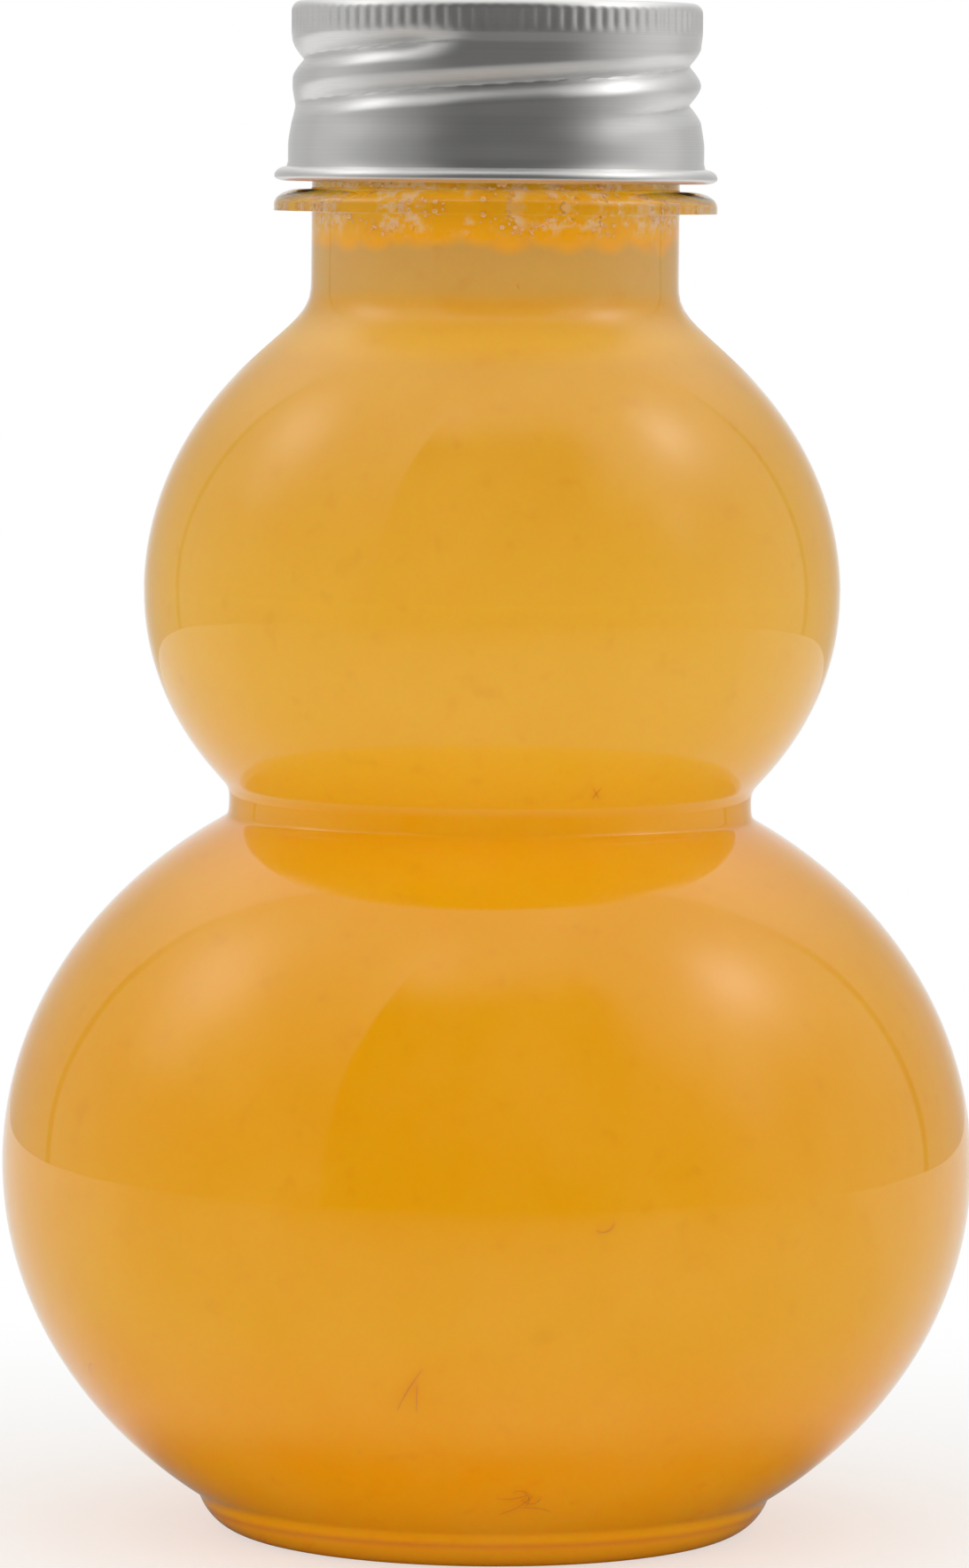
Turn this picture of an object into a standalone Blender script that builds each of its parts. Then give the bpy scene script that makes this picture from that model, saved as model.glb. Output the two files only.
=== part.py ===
"""Gourd bottle: a clear moulded bottle of two round bulbs, full of drink, under an aluminium screw cap.

Lengths are in metres and +Z is up. The origin is the middle of the base, on the surface that the bottle
stands on, and the bottle's axis is Z. The photographed front faces -Y.
"""

import math

import bmesh
import bpy
from mathutils import Matrix

# Gaps: what is left between two pieces that touch, and how far a cutter runs past what it cuts
FIT_GAP = 0.0003
OVERRUN = 0.001

# Bulbs of the bottle, each a squashed sphere
LOWER_BULB_RADIUS = 0.0464
LOWER_BULB_HALF_HEIGHT = 0.0394
UPPER_BULB_RADIUS = 0.0332
UPPER_BULB_BOTTOM_HALF = 0.0283
UPPER_BULB_TOP_HALF = 0.0303
WAIST_OVERLAP = 0.0131  # how far the two bulbs would reach into each other
BODY_WALL = 0.0006
MELT_POWER = 8  # how tightly bulb, bulb and neck run into each other: a higher power is a sharper crease

# Foot
FOOT_RADIUS = 0.0272
HEEL_RADIUS = 0.0033
CREASE_STEP = 0.0002  # the foot stands out this much from the bulb above it
STANDING_RING_WIDTH = 0.0025
BASE_HOLLOW_DEPTH = 0.003

# Neck, with the thick wall of the moulding's mouth
NECK_RADIUS = 0.0175
NECK_WALL = 0.0017
NECK_CLEAR_HEIGHT = 0.0056  # from the top of the upper bulb's sphere to the support ring
COLLAR_HEIGHT = 0.0086  # plain neck under the support ring
THINNING_HEIGHT = 0.005  # where the neck's wall thins to the body's
RING_PROUD = 0.0036  # how far the support ring stands out from the neck
RING_THICKNESS = 0.002
RING_EDGE_RADIUS = 0.0009
FINISH_HEIGHT = 0.016  # from the support ring's top to the lip
LIP_EDGE_RADIUS = 0.0004

# Screw thread, right-handed, shared by neck and cap
THREAD_STARTS = 2
THREAD_LEAD = 0.008
THREAD_ANGLE = math.radians(-67.5)  # where the first start begins, seen from above
THREAD_PLAY = 0.0004  # between the neck's thread and the cap's wall
THREAD_BELOW_LIP = 0.0018  # from the lip to the upper end of the neck's thread
NECK_RIDGE_RADIUS = 0.0008
NECK_RIDGE_PROUD = 0.0011
CAP_THREAD_RISE = 0.0064  # from the cap's open end to the start of its thread
CAP_GROOVE_RADIUS = 0.0012
CAP_GROOVE_DEPTH = 0.0009

# Cap
CAP_WALL = 0.0004
CAP_TOP_STEP = 0.00013  # how far the knurled band stands out from the threaded part
CAP_CORNER_RADIUS = 0.001
CAP_SKIRT_FLARE = 0.00045  # how far the skirt stands out from the threaded part
CAP_SKIRT_TAPER = 0.0035  # height of the flare between the thread and the bead
CAP_BEAD_RADIUS = 0.00085
CAP_BEAD_PROUD = 0.00125  # how far the bead stands out from the skirt
CAP_ABOVE_RING = 0.0004
KNURL_COUNT = 96
KNURL_HEIGHT = 0.003  # from the cap's top to the flutes' lower end
KNURL_TAPER = 0.001  # height in which the knurled band runs into the thread's
KNURL_RADIUS = 0.0006
KNURL_DEPTH = 0.00025
LINER_THICKNESS = 0.0012
LINER_EDGE_RADIUS = 0.0002

# Drink
LEVEL_ABOVE_RING = 0.0021

# Fineness of the round shapes
COLUMNS = 40
OUTER_STATIONS = 28
INNER_STATIONS = 20
OUTLINE_SAMPLES = 1500
BEND_LENGTH = 0.012  # a bend of one radian takes as many stations as this length of straight wall
ARC_STEPS = 3
BEAD_STEPS = 6
HEEL_STEPS = 4
DOME_STEPS = 3
KNURL_SIDES = 6
TUBE_STEPS = 2  # bevel resolution of the thread's tubes
THREAD_FADE_STEPS = 3
MERGE_DISTANCE = 0.000001

# Radii that follow from the sizes above: the cap is made to fit over the neck's thread
RING_RADIUS = NECK_RADIUS + RING_PROUD
CAP_THREAD_RADIUS = NECK_RADIUS + NECK_RIDGE_PROUD + THREAD_PLAY + CAP_WALL
CAP_TOP_RADIUS = CAP_THREAD_RADIUS + CAP_TOP_STEP
CAP_SKIRT_RADIUS = CAP_THREAD_RADIUS + CAP_SKIRT_FLARE

# Heights that follow from the sizes above
BULB_DROP = LOWER_BULB_HALF_HEIGHT * math.sqrt(1 - ((FOOT_RADIUS - CREASE_STEP) / LOWER_BULB_RADIUS) ** 2)
LOWER_BULB_CENTRE = HEEL_RADIUS + BULB_DROP
UPPER_BULB_CENTRE = LOWER_BULB_CENTRE + LOWER_BULB_HALF_HEIGHT - WAIST_OVERLAP + UPPER_BULB_BOTTOM_HALF
RING_BOTTOM = UPPER_BULB_CENTRE + UPPER_BULB_TOP_HALF + NECK_CLEAR_HEIGHT
RING_TOP = RING_BOTTOM + RING_THICKNESS
LIP = RING_TOP + FINISH_HEIGHT
CAP_OPEN_END = RING_TOP + CAP_ABOVE_RING
CAP_HEIGHT = LIP + FIT_GAP + LINER_THICKNESS + FIT_GAP + CAP_WALL - CAP_OPEN_END
CAP_THREAD_START = CAP_OPEN_END + CAP_THREAD_RISE
NECK_THREAD_START = CAP_THREAD_START + THREAD_LEAD / THREAD_STARTS / 2

# How far each thread turns: up to near the lip on the neck, and up to the knurled band's taper on the cap
NECK_THREAD_SWEEP = math.tau * (LIP - THREAD_BELOW_LIP - NECK_THREAD_START) / THREAD_LEAD
CAP_THREAD_SWEEP = math.tau * (CAP_HEIGHT - KNURL_HEIGHT - KNURL_TAPER - CAP_THREAD_RISE) / THREAD_LEAD


def clear_scene():
    for old in list(bpy.data.objects):
        bpy.data.objects.remove(old, do_unlink=True)


def new_collection(name):
    collection = bpy.data.collections.new(name)
    bpy.context.scene.collection.children.link(collection)
    return collection


def material(name, colour, roughness, metallic=0.0, transmission=0.0, ior=1.45):
    made = bpy.data.materials.new(name)
    made.use_nodes = True
    shader = made.node_tree.nodes["Principled BSDF"]
    shader.inputs["Base Color"].default_value = (*colour, 1.0)
    shader.inputs["Roughness"].default_value = roughness
    shader.inputs["Metallic"].default_value = metallic
    shader.inputs["Transmission Weight"].default_value = transmission
    shader.inputs["IOR"].default_value = ior
    made.diffuse_color = (*colour, 1.0)
    return made


def arc(centre_radius, centre_height, radius, first, last, steps):
    """Points of an arc in the profile plane, ends included, from the angle first to last in degrees."""
    points = []
    for step in range(steps + 1):
        angle = math.radians(first + (last - first) * step / steps)
        points.append((centre_radius + radius * math.cos(angle), centre_height + radius * math.sin(angle)))
    return points


def smooth_share(share):
    share = min(max(share, 0.0), 1.0)
    return share * share * (3 - 2 * share)


def sphere_radius(height, centre, radius, half_height):
    share = (height - centre) / half_height
    return radius * math.sqrt(max(1 - share * share, 0.0))


def melted(first, second):
    """The larger of two radii, with a smooth fillet where they are alike."""
    return (first**MELT_POWER + second**MELT_POWER) ** (1 / MELT_POWER)


def body_radius(height):
    """Outer radius of the bottle between its foot and its support ring."""
    if height > UPPER_BULB_CENTRE:
        bulb = sphere_radius(height, UPPER_BULB_CENTRE, UPPER_BULB_RADIUS, UPPER_BULB_TOP_HALF)
        return melted(bulb, NECK_RADIUS)
    bulb = sphere_radius(height, UPPER_BULB_CENTRE, UPPER_BULB_RADIUS, UPPER_BULB_BOTTOM_HALF)
    lower = sphere_radius(height, LOWER_BULB_CENTRE, LOWER_BULB_RADIUS, LOWER_BULB_HALF_HEIGHT)
    return melted(bulb, lower)


def body_slope(height):
    span = (RING_BOTTOM - HEEL_RADIUS) / OUTLINE_SAMPLES
    return (body_radius(height + span) - body_radius(height - span)) / (span + span)


def stations(top, bottom, count):
    """Heights from top to bottom: the bulbs' widest places, and the rest closer where the outline bends."""
    heights = [top + (bottom - top) * step / OUTLINE_SAMPLES for step in range(OUTLINE_SAMPLES + 1)]
    headings = [math.atan(body_slope(height)) for height in heights]
    reached = [0.0]
    for step in range(OUTLINE_SAMPLES):
        drop = heights[step] - heights[step + 1]
        length = math.hypot(drop, body_radius(heights[step]) - body_radius(heights[step + 1]))
        reached.append(reached[-1] + length + BEND_LENGTH * abs(headings[step + 1] - headings[step]))
    chosen = []
    step = 0
    for station in range(count + 1):
        wanted = reached[-1] * station / count
        while step < OUTLINE_SAMPLES and reached[step] < wanted:
            step += 1
        chosen.append(heights[step])
    for widest in (UPPER_BULB_CENTRE, LOWER_BULB_CENTRE):
        nearest = min(range(len(chosen)), key=lambda station: abs(chosen[station] - widest))
        chosen[nearest] = widest
    return chosen


def wall_at(height):
    """The wall thins from the neck's to the body's just under the plain collar."""
    collar_bottom = RING_BOTTOM - COLLAR_HEIGHT
    thick_share = smooth_share((height - collar_bottom + THINNING_HEIGHT) / THINNING_HEIGHT)
    return BODY_WALL + (NECK_WALL - BODY_WALL) * thick_share


def outer_body():
    """The body's outside, from the support ring down to the middle of the base."""
    points = [(body_radius(height), height) for height in stations(RING_BOTTOM, HEEL_RADIUS, OUTER_STATIONS)]
    heel_centre = FOOT_RADIUS - HEEL_RADIUS
    points += arc(heel_centre, HEEL_RADIUS, HEEL_RADIUS, 0, -90, HEEL_STEPS)
    points += hollow(heel_centre - STANDING_RING_WIDTH)
    return points


def hollow(hollow_radius):
    """The push-up under the base, from the standing ring in to the axis."""
    points = []
    for step in range(DOME_STEPS + 1):
        share = 1 - step / DOME_STEPS
        points.append((hollow_radius * share, BASE_HOLLOW_DEPTH * (1 - share * share)))
    return points


def inner_body(gap):
    """The body's inside from the bore down to the middle of the base, set in by the wall and a gap."""
    points = []
    for height in stations(RING_BOTTOM, HEEL_RADIUS, INNER_STATIONS):
        depth = wall_at(height) + gap
        slope = body_slope(height)
        length = math.hypot(1.0, slope)
        points.append((body_radius(height) - depth / length, height + depth * slope / length))
    depth = BODY_WALL + gap
    heel_centre = FOOT_RADIUS - HEEL_RADIUS
    points += arc(heel_centre, HEEL_RADIUS, HEEL_RADIUS - depth, 0, -90, HEEL_STEPS)
    points += [(radius, height + depth) for radius, height in hollow(heel_centre - STANDING_RING_WIDTH)]
    return points


def neck_outside():
    """The mouth's outside, from the lip down to the support ring's underside."""
    bore = NECK_RADIUS - NECK_WALL
    points = arc(bore + LIP_EDGE_RADIUS, LIP - LIP_EDGE_RADIUS, LIP_EDGE_RADIUS, 180, 90, ARC_STEPS)
    points += arc(NECK_RADIUS - LIP_EDGE_RADIUS, LIP - LIP_EDGE_RADIUS, LIP_EDGE_RADIUS, 90, 0, ARC_STEPS)
    points.append((NECK_RADIUS, RING_TOP))
    edge_centre = RING_RADIUS - RING_EDGE_RADIUS
    points += arc(edge_centre, RING_TOP - RING_EDGE_RADIUS, RING_EDGE_RADIUS, 90, 0, ARC_STEPS)
    points.append((RING_RADIUS, RING_BOTTOM))
    return points


def turned(name, profile, collection, finish=None, height=0.0):
    """An object turned round Z from points that run down its outer side, with its origin at the height."""
    mesh = bpy.data.meshes.new(name)
    vertices = [(radius, 0.0, point_height - height) for radius, point_height in profile]
    mesh.from_pydata(vertices, [(step, step + 1) for step in range(len(vertices) - 1)], [])
    made = bpy.data.objects.new(name, mesh)
    made.location = (0.0, 0.0, height)
    if finish:
        mesh.materials.append(finish)
    collection.objects.link(made)
    screw = made.modifiers.new("Turning", "SCREW")
    screw.axis = "Z"
    screw.steps = screw.render_steps = COLUMNS
    screw.use_merge_vertices = True
    screw.merge_threshold = MERGE_DISTANCE
    screw.use_smooth_shade = True
    return made


def as_cutter(cutter):
    cutter.hide_render = True
    cutter.display_type = "WIRE"


def mesh_from_curve(curve_object, collection):
    """A curve object made into a closed mesh object of the same name."""
    graph = bpy.context.evaluated_depsgraph_get()
    mesh = bpy.data.meshes.new_from_object(curve_object.evaluated_get(graph))
    work = bmesh.new()
    work.from_mesh(mesh)
    bmesh.ops.remove_doubles(work, verts=work.verts, dist=MERGE_DISTANCE)
    bmesh.ops.recalc_face_normals(work, faces=work.faces)
    work.to_mesh(mesh)
    work.free()
    name = curve_object.name
    matrix = curve_object.matrix_world.copy()
    bpy.data.objects.remove(curve_object, do_unlink=True)
    made = bpy.data.objects.new(name, mesh)
    made.matrix_world = matrix
    collection.objects.link(made)
    return made


def thread_tube(name, start, line_radius, tube_radius, first_height, sweep, runout, collection):
    """One start of a thread as a helical tube, whose ends leave the thread's line sideways by the runout."""
    begin = THREAD_ANGLE + math.tau * start / THREAD_STARTS
    steps = round(COLUMNS * sweep / math.tau)
    curve = bpy.data.curves.new(name, "CURVE")
    curve.dimensions = "3D"
    curve.bevel_depth = tube_radius
    curve.bevel_resolution = TUBE_STEPS
    curve.use_fill_caps = True
    spline = curve.splines.new("POLY")
    spline.points.add(steps)
    for step in range(steps + 1):
        turn = sweep * step / steps
        share = smooth_share(min(step, steps - step) / THREAD_FADE_STEPS)
        radius = line_radius + runout * (1 - share)
        angle = begin + turn
        height = first_height + THREAD_LEAD * turn / math.tau
        spline.points[step].co = (radius * math.cos(angle), radius * math.sin(angle), height, 1.0)
    tube = bpy.data.objects.new(name, curve)
    collection.objects.link(tube)
    made = mesh_from_curve(tube, collection)
    as_cutter(made)
    return made


def apply_boolean(target, other, operation):
    boolean = target.modifiers.new(other.name, "BOOLEAN")
    boolean.operation = operation
    boolean.solver = "EXACT"
    boolean.object = other


def make_bottle(parts, cutters):
    """The moulded bottle: bulbs, foot, neck, support ring and screw thread in one wall."""
    clear_plastic = material("clear_plastic", (0.93, 0.96, 0.97), roughness=0.04, transmission=1.0, ior=1.57)
    inside = inner_body(0.0)
    profile = inside[::-1] + neck_outside() + outer_body()
    bottle = turned("bottle", profile, parts, clear_plastic)
    ridge_line = NECK_RADIUS + NECK_RIDGE_PROUD - NECK_RIDGE_RADIUS
    for start in range(THREAD_STARTS):
        ridge = thread_tube(
            f"neck_ridge_{start + 1}", start, ridge_line, NECK_RIDGE_RADIUS, NECK_THREAD_START,
            NECK_THREAD_SWEEP, -NECK_RIDGE_PROUD, cutters,
        )
        apply_boolean(bottle, ridge, "UNION")
    return bottle


def make_drink(parts):
    """The drink, a gap inside the bottle's wall, up to its level in the neck."""
    orange = material("orange_drink", (0.86, 0.42, 0.05), roughness=0.12)
    level = RING_TOP + LEVEL_ABOVE_RING
    body = inner_body(FIT_GAP)
    profile = [(0.0, level), (body[0][0], level)] + body
    return turned("drink", profile, parts, orange)


def cap_outside():
    """The cap's outside as a full solid, from the middle of its top down to the middle of its open end."""
    top = CAP_OPEN_END + CAP_HEIGHT
    corner = CAP_TOP_RADIUS - CAP_CORNER_RADIUS
    points = [(0.0, top)] + arc(corner, top - CAP_CORNER_RADIUS, CAP_CORNER_RADIUS, 90, 0, ARC_STEPS)
    skirt_top = CAP_THREAD_START - CAP_GROOVE_RADIUS
    points.append((CAP_TOP_RADIUS, top - KNURL_HEIGHT))
    points.append((CAP_THREAD_RADIUS, top - KNURL_HEIGHT - KNURL_TAPER))
    points.append((CAP_THREAD_RADIUS, skirt_top))
    points.append((CAP_SKIRT_RADIUS, skirt_top - CAP_SKIRT_TAPER))
    bead_centre = CAP_SKIRT_RADIUS + CAP_BEAD_PROUD - CAP_BEAD_RADIUS
    meeting = math.degrees(math.acos((CAP_SKIRT_RADIUS - bead_centre) / CAP_BEAD_RADIUS))
    bead_height = CAP_OPEN_END + CAP_BEAD_RADIUS
    points += arc(bead_centre, bead_height, CAP_BEAD_RADIUS, meeting, -90, BEAD_STEPS)
    points.append((0.0, CAP_OPEN_END))
    return points


def cap_inside():
    """The cap's hollow, as deep as its wall allows and run out past its open end."""
    top = CAP_OPEN_END + CAP_HEIGHT
    corner = CAP_TOP_RADIUS - CAP_CORNER_RADIUS
    points = [(0.0, top - CAP_WALL)]
    points += arc(corner, top - CAP_CORNER_RADIUS, CAP_CORNER_RADIUS - CAP_WALL, 90, 0, ARC_STEPS)
    skirt_top = CAP_THREAD_START - CAP_GROOVE_RADIUS
    points.append((CAP_TOP_RADIUS - CAP_WALL, top - KNURL_HEIGHT))
    points.append((CAP_THREAD_RADIUS - CAP_WALL, top - KNURL_HEIGHT - KNURL_TAPER))
    points.append((CAP_THREAD_RADIUS - CAP_WALL, skirt_top))
    points.append((CAP_SKIRT_RADIUS - CAP_WALL, skirt_top - CAP_SKIRT_TAPER))
    points.append((CAP_SKIRT_RADIUS - CAP_WALL, CAP_OPEN_END - OVERRUN))
    points.append((0.0, CAP_OPEN_END - OVERRUN))
    return points


def knurl_cutter(cutters):
    """Upright flutes round the cap's top edge, as one object."""
    top = CAP_OPEN_END + CAP_HEIGHT
    bottom = top - KNURL_HEIGHT
    centre = CAP_TOP_RADIUS - KNURL_DEPTH + KNURL_RADIUS
    work = bmesh.new()
    for flute in range(KNURL_COUNT):
        angle = math.tau * flute / KNURL_COUNT
        made = bmesh.ops.create_cone(
            work, cap_ends=True, segments=KNURL_SIDES, radius1=KNURL_RADIUS, radius2=KNURL_RADIUS,
            depth=top + OVERRUN - bottom,
        )
        bmesh.ops.translate(work, verts=made["verts"], vec=(centre, 0.0, (top + OVERRUN + bottom) / 2))
        bmesh.ops.rotate(work, verts=made["verts"], matrix=Matrix.Rotation(angle, 3, "Z"))
    mesh = bpy.data.meshes.new("knurl_flutes")
    work.to_mesh(mesh)
    work.free()
    flutes = bpy.data.objects.new("knurl_flutes", mesh)
    cutters.objects.link(flutes)
    as_cutter(flutes)
    return flutes


def make_cap(parts, cutters, carrier):
    """The aluminium cap: a thin shell, knurled at the top, rolled into its thread, curled at its open end."""
    aluminium = material("satin_aluminium", (0.72, 0.72, 0.73), roughness=0.32, metallic=1.0)
    cap = turned("cap_shell", cap_outside(), parts, aluminium, CAP_OPEN_END)
    cavity = turned("cap_cavity", cap_inside(), cutters, height=CAP_OPEN_END)
    as_cutter(cavity)
    line = CAP_THREAD_RADIUS - CAP_GROOVE_DEPTH + CAP_GROOVE_RADIUS
    for start in range(THREAD_STARTS):
        inner = thread_tube(
            f"cap_ridge_{start + 1}", start, line, CAP_GROOVE_RADIUS + CAP_WALL, CAP_THREAD_START,
            CAP_THREAD_SWEEP, CAP_GROOVE_DEPTH + CAP_WALL, cutters,
        )
        apply_boolean(cavity, inner, "DIFFERENCE")
        groove = thread_tube(
            f"cap_groove_{start + 1}", start, line, CAP_GROOVE_RADIUS, CAP_THREAD_START,
            CAP_THREAD_SWEEP, CAP_GROOVE_DEPTH + CAP_WALL, cutters,
        )
        apply_boolean(cap, groove, "DIFFERENCE")
    apply_boolean(cap, knurl_cutter(cutters), "DIFFERENCE")
    apply_boolean(cap, cavity, "DIFFERENCE")
    place_under(cap, carrier)
    return cap


def make_liner(parts, carrier):
    """The sealing wad between the bottle's lip and the cap's top."""
    foam = material("white_foam", (0.86, 0.86, 0.84), roughness=0.65)
    bottom = LIP + FIT_GAP
    top = bottom + LINER_THICKNESS
    edge = CAP_TOP_RADIUS - CAP_WALL - FIT_GAP - LINER_EDGE_RADIUS
    profile = [(0.0, top)] + arc(edge, top - LINER_EDGE_RADIUS, LINER_EDGE_RADIUS, 90, 0, ARC_STEPS)
    profile += arc(edge, bottom + LINER_EDGE_RADIUS, LINER_EDGE_RADIUS, 0, -90, ARC_STEPS) + [(0.0, bottom)]
    liner = turned("cap_liner", profile, parts, foam, bottom)
    place_under(liner, carrier)
    return liner


def place_under(child, carrier):
    """Parents the child without moving it."""
    child.parent = carrier
    child.location = child.location - carrier.location


def main():
    clear_scene()
    parts = new_collection("gourd_bottle")
    cutters = new_collection("cutters")
    screw_axis = bpy.data.objects.new("screw_axis", None)
    screw_axis.location = (0.0, 0.0, CAP_OPEN_END)
    parts.objects.link(screw_axis)
    make_bottle(parts, cutters)
    make_drink(parts)
    make_cap(parts, cutters, screw_axis)
    make_liner(parts, screw_axis)


main()
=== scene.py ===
"""Looks of the gourd bottle: clear plastic, amber drink, froth at the neck and a rolled aluminium screw cap.

Lengths are in metres in the frame's own axes: +Z up, the base's middle at the origin, the front facing -Y.
"""

import math
import random

import bmesh
import bpy
import numpy as np
from mathutils import Matrix, Vector


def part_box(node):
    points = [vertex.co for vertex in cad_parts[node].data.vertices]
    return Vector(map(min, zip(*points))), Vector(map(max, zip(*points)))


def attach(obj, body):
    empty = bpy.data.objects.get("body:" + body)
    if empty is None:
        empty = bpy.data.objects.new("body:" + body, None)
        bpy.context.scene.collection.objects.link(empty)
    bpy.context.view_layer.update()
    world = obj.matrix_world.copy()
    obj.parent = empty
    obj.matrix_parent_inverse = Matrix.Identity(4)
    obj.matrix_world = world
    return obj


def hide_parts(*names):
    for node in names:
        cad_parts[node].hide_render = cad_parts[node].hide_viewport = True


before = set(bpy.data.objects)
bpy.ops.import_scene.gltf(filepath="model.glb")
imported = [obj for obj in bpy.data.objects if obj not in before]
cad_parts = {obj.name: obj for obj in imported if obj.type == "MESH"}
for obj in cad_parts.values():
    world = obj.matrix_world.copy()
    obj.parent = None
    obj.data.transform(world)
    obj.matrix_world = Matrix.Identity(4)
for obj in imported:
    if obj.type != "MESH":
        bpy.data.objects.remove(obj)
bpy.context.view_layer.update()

# What the frame gives: corners of the boxes round its pieces
BOTTLE_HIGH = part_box("bottle")[1]
DRINK_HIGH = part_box("drink")[1]
CAP_LOW, CAP_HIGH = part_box("cap_shell")

# Bulbs of the bottle, with the same sizes as in the CAD
LOWER_BULB_RADIUS = BOTTLE_HIGH.x
LOWER_BULB_HALF_HEIGHT = 0.0394
UPPER_BULB_RADIUS = 0.0332
UPPER_BULB_BOTTOM_HALF = 0.0283
UPPER_BULB_TOP_HALF = 0.0303
BULB_OVERLAP = 0.0131
BODY_WALL = 0.0006

# Waist: a short upright band between the bulbs
WAIST_RADIUS = 0.02495
WAIST_HEIGHT = 0.0701
WAIST_HALF_WIDTH = 0.002
WAIST_FLARE = 0.0002
WAIST_ROUNDING_POWER = 110
SHOULDER_ROUNDING_POWER = 8

# Foot: a crease under the lower bulb, a rounded heel and a standing ring
CREASE_RADIUS = 0.0275
CREASE_HEIGHT = 0.0036
CREASE_ANGLE = math.radians(-20)
STANDING_RADIUS = 0.023
HOLLOW_RADIUS = 0.0214
BASE_HOLLOW_DEPTH = 0.003
GATE_RADIUS = 0.0014
GATE_HEIGHT = 0.0006

# Neck and its support ring
NECK_RADIUS = 0.0175
NECK_WALL = 0.0017
COLLAR_HEIGHT = 0.0086
THINNING_HEIGHT = 0.005
RING_PROUD = 0.0036
RING_THICKNESS = 0.0021
RING_EDGE_WIDTH = 0.0027
RING_EDGE_HEIGHT = 0.0015
RING_ROOT_RADIUS = 0.0002
SHOULDER_HEIGHT = 0.1138
SHOULDER_HAZE = 0.0085  # the moulded skin is a little dull where the shoulder turns up into the neck
FINISH_HEIGHT = 0.0156
LIP_EDGE_RADIUS = 0.0004

# Screw thread of neck and cap
THREAD_STARTS = 2
THREAD_LEAD = 0.008
THREAD_ANGLE = math.radians(-67.5)
THREAD_BELOW_LIP = 0.0018
NECK_RIDGE_HALF_WIDTH = 0.00115
NECK_RIDGE_PROUD = 0.0011
NECK_RIDGE_SHAPE = 1.2
CAP_THREAD_RISE = 0.0064
CAP_THREAD_SWEEP = math.radians(333)
CAP_GROOVE_DEPTH = 0.0012
CAP_GROOVE_HALF_WIDTH = 0.0018
CAP_GROOVE_ROUNDING = 0.00012
CAP_GROOVE_SHAPE = 1.55
CAP_GROOVE_FADE = math.radians(55)
CAP_GROOVE_DELAYS = (math.radians(4), math.radians(48))  # the second groove starts to deepen further round
CAP_GROOVE_LIFTS = (0.0003, 0.0)
THREAD_FADE = math.radians(24)

# Cap
CAP_WALL = 0.0004
CAP_CORNER_RADIUS = 0.001
CAP_TOP_RADIUS = 0.01953
CAP_BAND_TAPER = 0.001
CAP_THREAD_RADIUS = 0.0194
CAP_SKIRT_RADIUS = 0.01978
CAP_SKIRT_TAPER = 0.0032
CAP_SKIRT_RISE = 0.0008
CAP_BEAD_LOW_HALF = 0.0005
CAP_BEAD_HIGH_HALF = 0.0009
CAP_BEAD_UNDER = 0.0013
CAP_BEAD_LIFT = 0.0007
KNURL_COUNT = 96
KNURL_HEIGHT = 0.003
KNURL_DEPTH = 0.00011
KNURL_RUNOUT = 0.0007
KNURL_TOP = 0.00045
KNURL_SHAPE = 1.5

# Drink
DRINK_OVERLAP = 0.00008  # the drink wets the wall, so its surface lies this far inside the plastic
FROTH_BOTTOM = 0.1232
SCALLOP_DEPTH = 0.0017
SCALLOP_SIZE = 0.45
SCALLOPS_BELOW_FROTH = (0.0032, 0.0008)  # where the scallops of the froth's lower edge begin and are full
FOAM_RISE = 0.0025
FROTH_SEED = 38
FROTH_CLUSTERS = 90
CLUSTER_BUBBLES = 9
CLUSTER_SPREAD = 0.0007
CLUSTER_STRETCH = 1.6
CLUSTER_SQUASH = 0.5
CLUSTER_BOTTOM = 0.1246
CLUSTER_RADII = (0.0001, 0.00013, 0.00013, 0.00017, 0.00022, 0.0003)
TOP_BUBBLES = 420
TOP_RADII = (0.0002, 0.0003, 0.0004, 0.0006)
TOP_CROWDING = 0.35  # half would be an even spread, and less crowds the floating bubbles toward the wall
BUBBLE_VARIATION = (0.8, 1.2)
BUBBLE_PROUD = 0.00006
BUBBLE_FLATNESS = 0.4
DOME_FLATNESS = 0.8
DOME_SINK = 0.3

# Threads of fruit in the drink
FIBRE_SEED = 7
FIBRE_RADIUS = 0.00005
FIBRE_STEPS = 12
FIBRE_PROUD = 0.6
FIBRE_TIP = 0.45
FIBRE_MERGE = FIBRE_RADIUS / 50

# Azimuth from the front to the right, height, lean, length and bend of each seen thread, angles in degrees
SEEN_FIBRES = (
    (-7.5, 0.0215, -38, 0.0050, 10),
    (-8.4, 0.0199, -6, 0.0028, 0),
    (2.0, 0.0081, 80, 0.0030, 40),
    (4.5, 0.0088, 115, 0.0030, -160),
    (6.1, 0.0080, 30, 0.0024, 150),
    (7.7, 0.0084, -35, 0.0036, -40),
    (6.1, 0.0070, 95, 0.0030, -30),
    (12.5, 0.0345, 60, 0.0021, 110),
    (22.8, 0.0732, -34, 0.0012, 20),
    (21.2, 0.0732, 34, 0.0014, 20),
    (76, 0.0203, -20, 0.0012, 60),
    (7.3, 0.1196, 0, 0.0006, 60),
)

# The same five values, as ranges to draw from, for the threads at the sides and back
HIDDEN_FIBRES = 14
HIDDEN_FIBRE_RANGES = ((60, 300), (0.012, 0.055), (0, 360), (0.001, 0.003), (-90, 90))

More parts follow.
